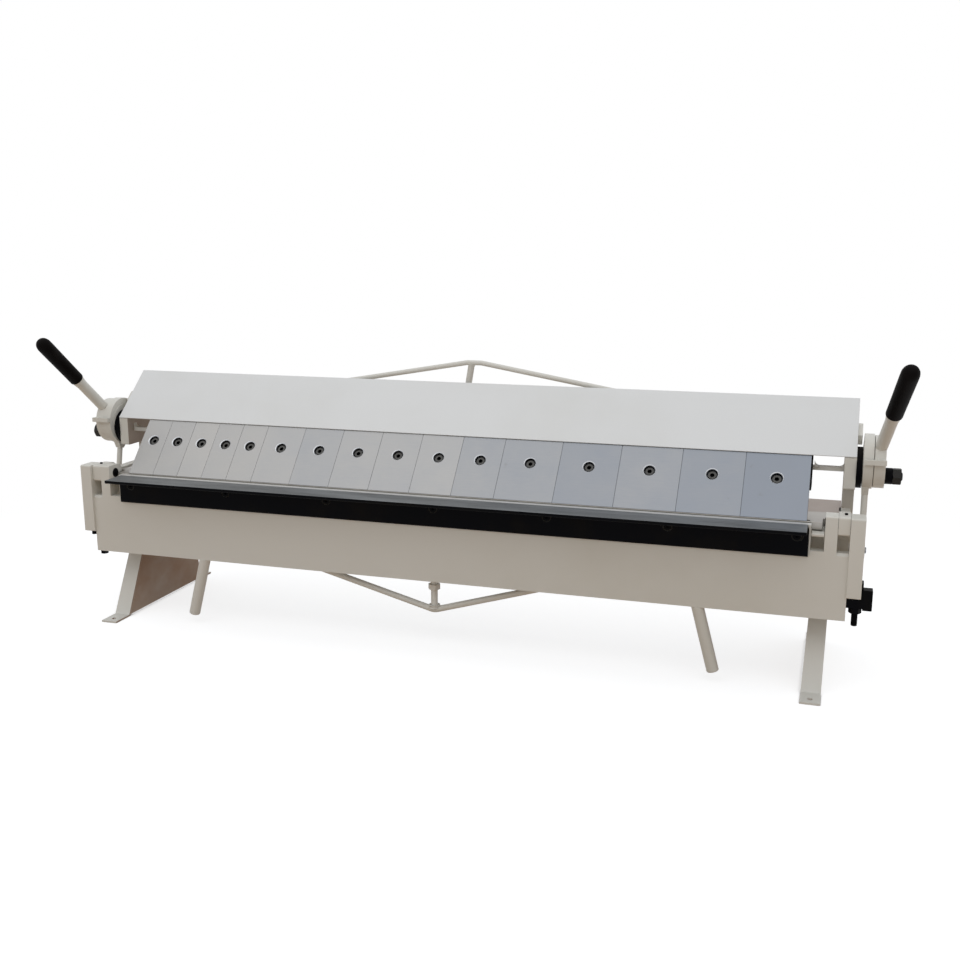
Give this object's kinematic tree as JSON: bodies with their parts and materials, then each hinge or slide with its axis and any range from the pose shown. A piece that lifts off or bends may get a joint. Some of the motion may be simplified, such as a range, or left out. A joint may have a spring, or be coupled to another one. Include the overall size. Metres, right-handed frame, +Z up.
{
  "type": "sheet metal folder",
  "caption": "Bench folder for sheet metal: segmented clamping fingers on a lifting beam, eccentric clamp levers at both ends and a hinged bending apron with two handles.",
  "frame": {"origin": "centre of the four bench bolt holes, on the bench", "axes": "+X along the machine to the operator's right, -Y towards the operator, +Z up"},
  "size_m": [1.5094, 0.346, 0.5288],
  "materials": {
    "grey_paint": "warm light grey enamel over castings and plate",
    "cover_paint": "pale grey enamel",
    "ground_steel": "surface ground, satin",
    "angle_black": "black oxide with a ground top",
    "black_steel": "black oxide",
    "plated_steel": "zinc plated, dull",
    "grip_rubber": "moulded, matt"
  },
  "bodies": {
    "base": {"anchor_pins": "plated_steel", "bed_plate": "grey_paint", "bed_rail_front": "grey_paint", "bed_rail_rear": "grey_paint", "bed_ribs": "grey_paint", "hinge_block_left": "grey_paint", "hinge_block_right": "grey_paint", "hinge_pins": "black_steel", "leg_bolts": "black_steel", "leg_left": "grey_paint", "leg_right": "grey_paint", "pivot_nuts": "plated_steel", "pivot_studs": "plated_steel"},
    "apron": {"apron_leaf": "grey_paint", "angle_bar": "angle_black", "angle_bar_screws": "black_steel", "apron_truss_rod": "grey_paint", "apron_truss_post": "grey_paint", "apron_truss_nuts": "grey_paint", "bend_handle_right": "grey_paint", "bend_handle_left": "grey_paint", "fold_stop_block": "black_steel", "fold_stop_screw": "black_steel", "fold_stop_nut": "black_steel", "ear_screws": "black_steel"},
    "beam": {"back_plate": "cover_paint", "beam_truss_nuts": "grey_paint", "beam_truss_post": "grey_paint", "beam_truss_rod": "grey_paint", "cover_plate": "cover_paint", "end_plate_left": "grey_paint", "end_plate_right": "grey_paint", "finger_01": "ground_steel", "finger_02": "ground_steel", "finger_03": "ground_steel", "finger_04": "ground_steel", "finger_05": "ground_steel", "finger_06": "ground_steel", "finger_07": "ground_steel", "finger_08": "ground_steel", "finger_09": "ground_steel", "finger_10": "ground_steel", "finger_11": "ground_steel", "finger_12": "ground_steel", "finger_13": "ground_steel", "finger_14": "ground_steel", "finger_15": "ground_steel", "finger_16": "ground_steel", "finger_holder": "black_steel", "finger_screws": "black_steel", "pivot_bolts": "black_steel", "spacer_discs": "black_steel", "tie_bar": "grey_paint"},
    "lever_left": {"clamp_lever_left": "grey_paint", "lever_grip_left": "grip_rubber"},
    "lever_right": {"clamp_lever_right": "grey_paint", "lever_grip_right": "grip_rubber"},
    "strap_left": {"link_strap_left": "grey_paint"},
    "strap_right": {"link_strap_right": "grey_paint"}
  },
  "joints": [
    {"name": "apron_fold", "type": "hinge", "parent": "base", "child": "apron", "pos_m": [0, -0.106, 0.275], "axis": [-1, 0, 0], "range_deg": [0, 120]},
    {"name": "beam_lift", "type": "hinge", "parent": "base", "child": "beam", "pos_m": [0, 0.094, 0.165], "axis": [-1, 0, 0], "range_deg": [0, 6.4]},
    {"name": "lever_left_throw", "type": "hinge", "parent": "beam", "child": "lever_left", "pos_m": [0, -0.0023, 0.3334], "axis": [-1, 0, 0], "range_deg": [0, 75]},
    {"name": "lever_right_throw", "type": "hinge", "parent": "beam", "child": "lever_right", "pos_m": [0, -0.0023, 0.3334], "axis": [-1, 0, 0], "range_deg": [0, 75]},
    {"name": "strap_left_turn", "type": "hinge", "parent": "lever_left", "child": "strap_left", "pos_m": [0, 0.002, 0.355], "axis": [-1, 0, 0], "range_deg": [-66, 0]},
    {"name": "strap_right_turn", "type": "hinge", "parent": "lever_right", "child": "strap_right", "pos_m": [0, 0.002, 0.355], "axis": [-1, 0, 0], "range_deg": [-66, 0]}
  ],
  "couplings": [
    {"joint": "lever_left_throw", "follows": "beam_lift", "ratio": 11.7},
    {"joint": "strap_left_turn", "follows": "beam_lift", "ratio": -10.23},
    {"joint": "lever_right_throw", "follows": "beam_lift", "ratio": 11.7},
    {"joint": "strap_right_turn", "follows": "beam_lift", "ratio": -10.23}
  ]
}
